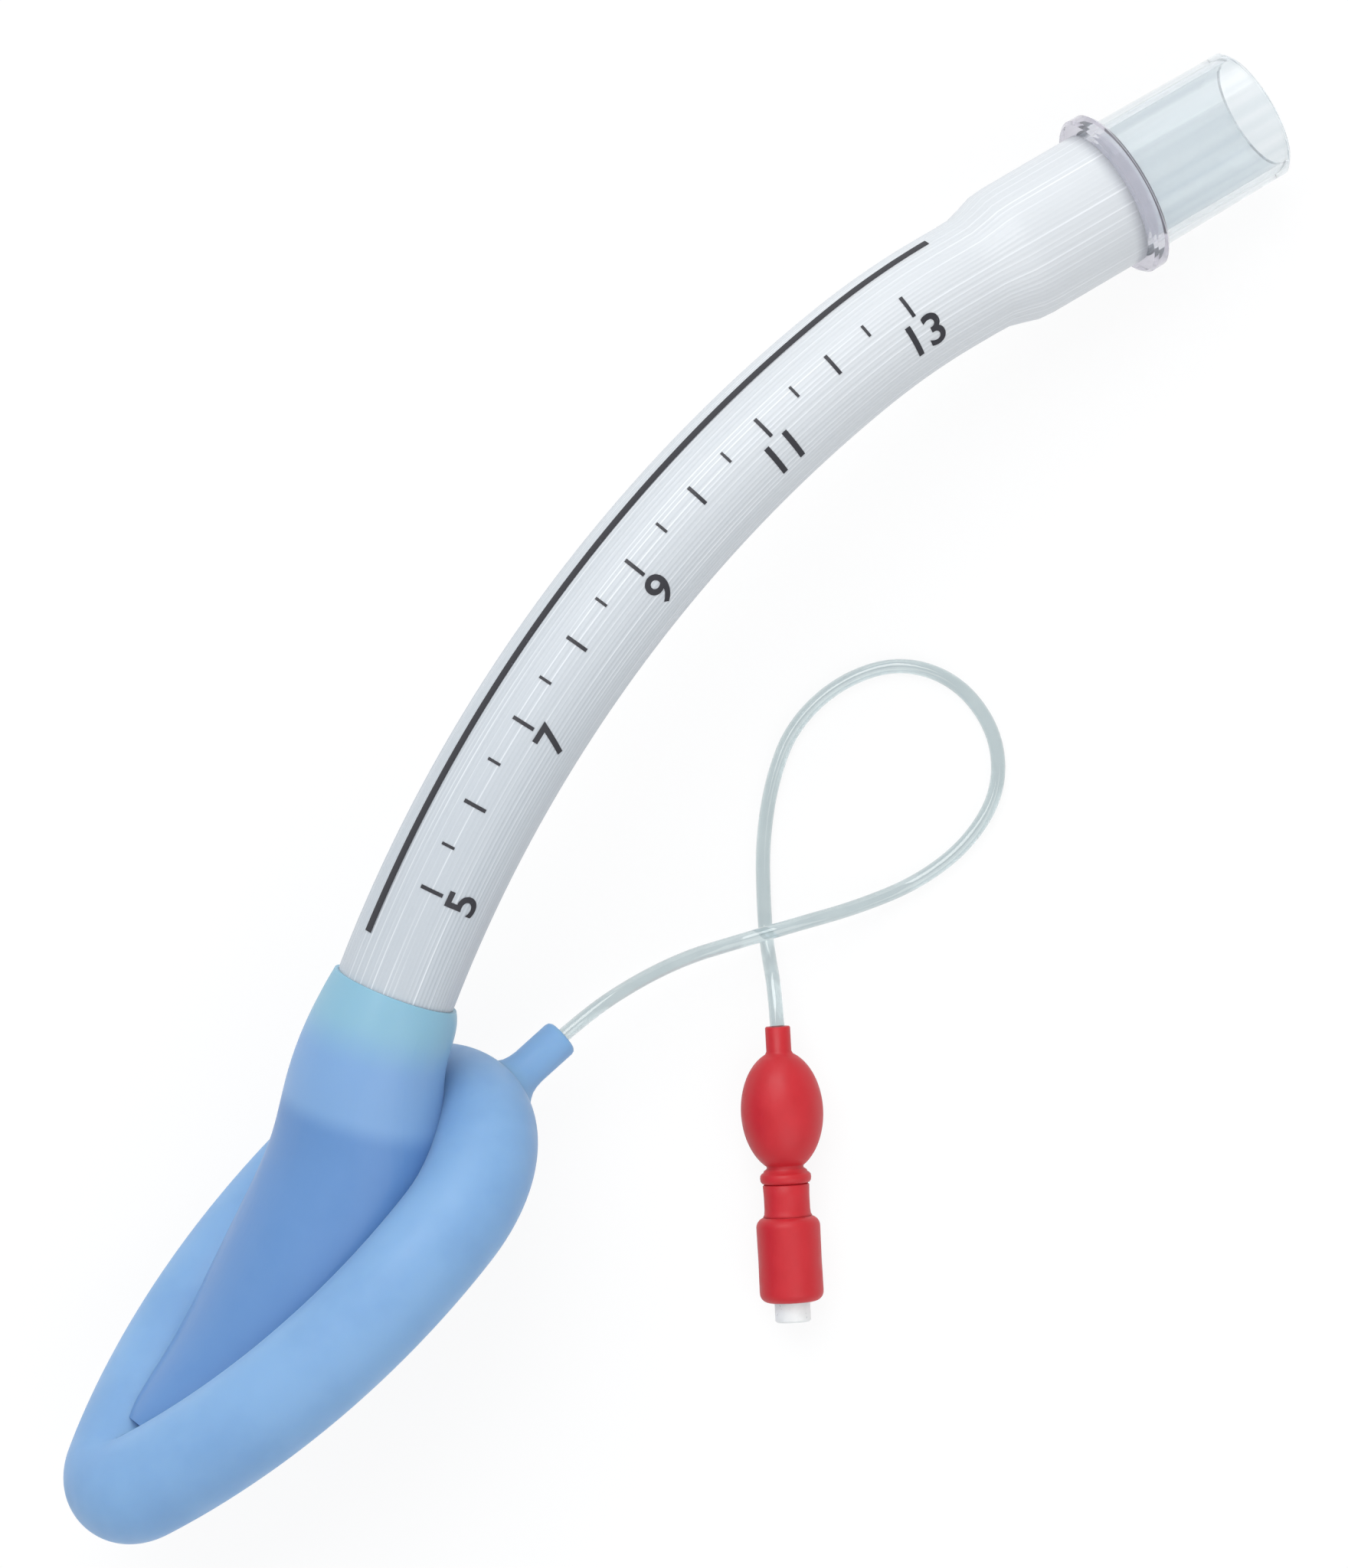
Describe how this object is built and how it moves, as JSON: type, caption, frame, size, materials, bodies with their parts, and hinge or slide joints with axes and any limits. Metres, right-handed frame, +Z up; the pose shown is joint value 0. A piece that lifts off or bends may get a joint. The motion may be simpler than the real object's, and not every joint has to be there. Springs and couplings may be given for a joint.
{
  "type": "laryngeal mask airway",
  "caption": "Curved breathing tube with a standard male connector, an inflatable oval mask with a domed back, and a pilot balloon with a check valve on a thin line.",
  "frame": {"origin": "middle of the airway's own box, without the inflation line and pilot balloon, on the surface that it lies on", "axes": "+X from the mask's tip towards the connector, +Z up, +Y towards the convex back of the tube, as it lies on its side"},
  "size_m": [0.2014, 0.0677, 0.0356],
  "materials": {
    "clear_hard_plastic": "clear, polished",
    "milky_silicone": "milky translucent, finely ribbed",
    "blue_silicone": "satin, slightly translucent",
    "light_blue_silicone": "matte",
    "clear_soft_plastic": "clear, soft",
    "red_silicone": "satin",
    "natural_plastic": "translucent",
    "white_plastic": "moulded",
    "seal_rubber": "matte",
    "spring_steel": "drawn wire"
  },
  "bodies": {
    "airway": {"connector": "clear_hard_plastic", "airway_tube": "milky_silicone", "mask_backplate": "blue_silicone", "inflatable_cuff": "light_blue_silicone", "inflation_line": "clear_soft_plastic", "pilot_balloon": "red_silicone", "valve_pocket": "red_silicone", "valve_body": "natural_plastic", "spring_retainer": "natural_plastic", "valve_spring": "spring_steel"},
    "plunger": {"valve_plunger": "white_plastic", "valve_seal": "seal_rubber"}
  },
  "joints": [
    {"name": "valve_slide", "type": "slide", "parent": "airway", "child": "plunger", "axis": [0.807, 0.5884, 0.0505], "range_m": [0, 0.0012], "stiffness_N_per_m": 150, "springref_m": -0.0015, "deforming": ["valve_spring"]}
  ]
}
